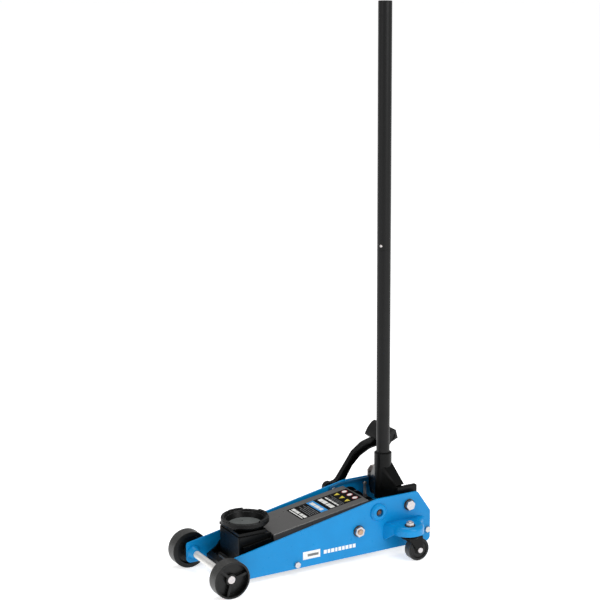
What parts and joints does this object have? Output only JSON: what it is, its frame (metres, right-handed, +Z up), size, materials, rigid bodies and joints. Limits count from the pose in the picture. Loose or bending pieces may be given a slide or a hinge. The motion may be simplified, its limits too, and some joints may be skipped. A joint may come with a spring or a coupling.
{
  "type": "trolley jack",
  "caption": "Low-profile hydraulic trolley jack: steel side plates, lifting arm with swivelling saddle, long two-piece pump handle, foot pedal, front wheels and rear swivel casters.",
  "frame": {"origin": "on the floor under the middle of the bounding box", "axes": "+Z up, +X towards the pump handle and the rear casters, +Y towards the foot pedal side"},
  "size_m": [0.68, 0.344, 1.481],
  "materials": {
    "blue_paint": "semi-gloss powder coat",
    "black_paint": "satin powder coat",
    "grey_paint": "satin powder coat",
    "zinc": "bright zinc plate",
    "steel": "turned steel",
    "saddle_steel": "satin",
    "shaft_steel": "oiled, browned",
    "saddle_black": "semi-gloss",
    "wheel_black": "matt",
    "pad_rubber": "matt",
    "cast_block": "painted casting",
    "spring_steel": "spring wire"
  },
  "bodies": {
    "frame": {"side_plate_left": "blue_paint", "side_plate_right": "blue_paint", "arm_pivot_bosses": "blue_paint", "arm_pivot_shaft": "shaft_steel", "front_axle": "zinc", "front_axle_caps": "zinc", "front_cross_tie": "black_paint", "frame_tie_bolts": "zinc", "tie_rod_bolts": "zinc", "tie_rod_nuts": "zinc", "yoke_pivot_bolts": "zinc", "caster_bracket_left": "blue_paint", "caster_bracket_right": "blue_paint", "caster_stems": "zinc", "pump_block": "cast_block", "pump_gland": "steel", "lift_cylinder": "cast_block", "cylinder_gland": "cast_block", "oil_reservoir": "cast_block", "filler_plug": "zinc", "quick_pump_barrel": "cast_block", "plunger_spring": "spring_steel"},
    "lift_arm": {"arm_cover": "grey_paint", "arm_cheek_left": "grey_paint", "arm_cheek_right": "grey_paint", "arm_pivot_tube": "black_paint", "arm_crank_plates": "black_paint", "crank_pin": "steel"},
    "head": {"head_bracket": "black_paint", "head_pins": "steel"},
    "saddle": {"saddle_cup": "saddle_black", "saddle_disc": "saddle_steel", "saddle_stem": "steel"},
    "tie_rods": {"tie_rod_left": "black_paint", "tie_rod_right": "black_paint", "tie_rod_crosshead": "black_paint"},
    "yoke": {"handle_yoke": "black_paint", "roller_pin": "steel"},
    "roller": {"pump_roller": "steel"},
    "handle": {"handle_lower_tube": "black_paint", "handle_upper_tube": "black_paint", "handle_coupling": "steel"},
    "button": {"joint_button": "zinc"},
    "valve": {"release_valve": "steel"},
    "main_plunger": {"pump_plunger": "steel"},
    "lift_ram": {"ram": "steel", "ram_clevis": "cast_block"},
    "pedal": {"pedal_lever": "black_paint", "pedal_pad": "pad_rubber", "pedal_shaft": "steel", "pedal_inner_lever": "zinc"},
    "quick_lift_plunger": {"quick_plunger": "steel"},
    "front_wheel_l": {"front_wheel_left": "wheel_black"},
    "front_wheel_r": {"front_wheel_right": "wheel_black"},
    "caster_l": {"caster_fork_left": "black_paint", "caster_axle_left": "zinc"},
    "caster_r": {"caster_fork_right": "black_paint", "caster_axle_right": "zinc"},
    "caster_wheel_l": {"caster_wheel_left": "wheel_black"},
    "caster_wheel_r": {"caster_wheel_right": "wheel_black"}
  },
  "joints": [
    {"name": "arm_lift", "type": "hinge", "parent": "frame", "child": "lift_arm", "pos_m": [0.1728, 0, 0.1342], "axis": [0, 1, 0], "range_deg": [0, 56]},
    {"name": "head_level", "type": "hinge", "parent": "lift_arm", "child": "head", "pos_m": [-0.17006, 0, 0.08143], "axis": [0, 1, 0], "range_deg": [-56, 0]},
    {"name": "tie_rod_swing", "type": "hinge", "parent": "frame", "child": "tie_rods", "pos_m": [0.1106, 0, 0.092], "axis": [0, 1, 0], "range_deg": [0, 56]},
    {"name": "saddle_swivel", "type": "hinge", "parent": "head", "child": "saddle", "pos_m": [-0.181, 0, 0.14], "axis": [0, 0, 1], "continuous": true},
    {"name": "handle_pump", "type": "hinge", "parent": "frame", "child": "yoke", "pos_m": [0.27, 0, 0.138], "axis": [0, 1, 0], "range_deg": [0, 55]},
    {"name": "roller_spin", "type": "hinge", "parent": "yoke", "child": "roller", "pos_m": [0.302, -0.04, 0.16], "axis": [0, 1, 0], "continuous": true},
    {"name": "handle_twist", "type": "hinge", "parent": "yoke", "child": "handle", "pos_m": [0.2442, 0, 0.2], "axis": [0, 0, 1], "range_deg": [0, 180]},
    {"name": "button_press", "type": "slide", "parent": "handle", "child": "button", "axis": [0.829, 0.5592, 0], "range_m": [0, 0.0035], "stiffness_N_per_m": 400, "springref_m": -0.002},
    {"name": "valve_turn", "type": "hinge", "parent": "frame", "child": "valve", "pos_m": [0.2442, 0, 0.11], "axis": [0, 0, 1], "range_deg": [0, 180]},
    {"name": "plunger_stroke", "type": "slide", "parent": "frame", "child": "main_plunger", "axis": [0, 0, -1], "range_m": [0, 0.0357], "deforming": ["plunger_spring"]},
    {"name": "ram_stroke", "type": "slide", "parent": "frame", "child": "lift_ram", "axis": [-1, 0, 0], "range_m": [0, 0.0583]},
    {"name": "pedal_press", "type": "hinge", "parent": "frame", "child": "pedal", "pos_m": [0.135, 0.11, 0.15], "axis": [0, 1, 0], "range_deg": [0, 16], "stiffness_Nm_per_rad": 6, "springref_deg": -22.92},
    {"name": "quick_plunger_stroke", "type": "slide", "parent": "frame", "child": "quick_lift_plunger", "axis": [0, 0, -1], "range_m": [0, 0.0283]},
    {"name": "front_wheel_l_spin", "type": "hinge", "parent": "frame", "child": "front_wheel_l", "pos_m": [-0.29, -0.1245, 0.05], "axis": [0, 1, 0], "continuous": true},
    {"name": "caster_l_swivel", "type": "hinge", "parent": "frame", "child": "caster_l", "pos_m": [0.24, -0.147, 0.08], "axis": [0, 0, 1], "continuous": true},
    {"name": "caster_wheel_l_spin", "type": "hinge", "parent": "caster_l", "child": "caster_wheel_l", "pos_m": [0.262, -0.147, 0.0315], "axis": [0, 1, 0], "continuous": true},
    {"name": "front_wheel_r_spin", "type": "hinge", "parent": "frame", "child": "front_wheel_r", "pos_m": [-0.29, 0.1245, 0.05], "axis": [0, 1, 0], "continuous": true},
    {"name": "caster_r_swivel", "type": "hinge", "parent": "frame", "child": "caster_r", "pos_m": [0.24, 0.147, 0.08], "axis": [0, 0, 1], "continuous": true},
    {"name": "caster_wheel_r_spin", "type": "hinge", "parent": "caster_r", "child": "caster_wheel_r", "pos_m": [0.262, 0.147, 0.0315], "axis": [0, 1, 0], "continuous": true}
  ],
  "couplings": [
    {"joint": "head_level", "follows": "arm_lift", "ratio": -1},
    {"joint": "tie_rod_swing", "follows": "arm_lift", "ratio": 1},
    {"joint": "ram_stroke", "follows": "arm_lift", "m_per_rad": 0.059561},
    {"joint": "plunger_stroke", "follows": "handle_pump", "m_per_rad": 0.037086},
    {"joint": "valve_turn", "follows": "handle_twist", "ratio": 1},
    {"joint": "quick_plunger_stroke", "follows": "pedal_press", "m_per_rad": 0.10098}
  ]
}
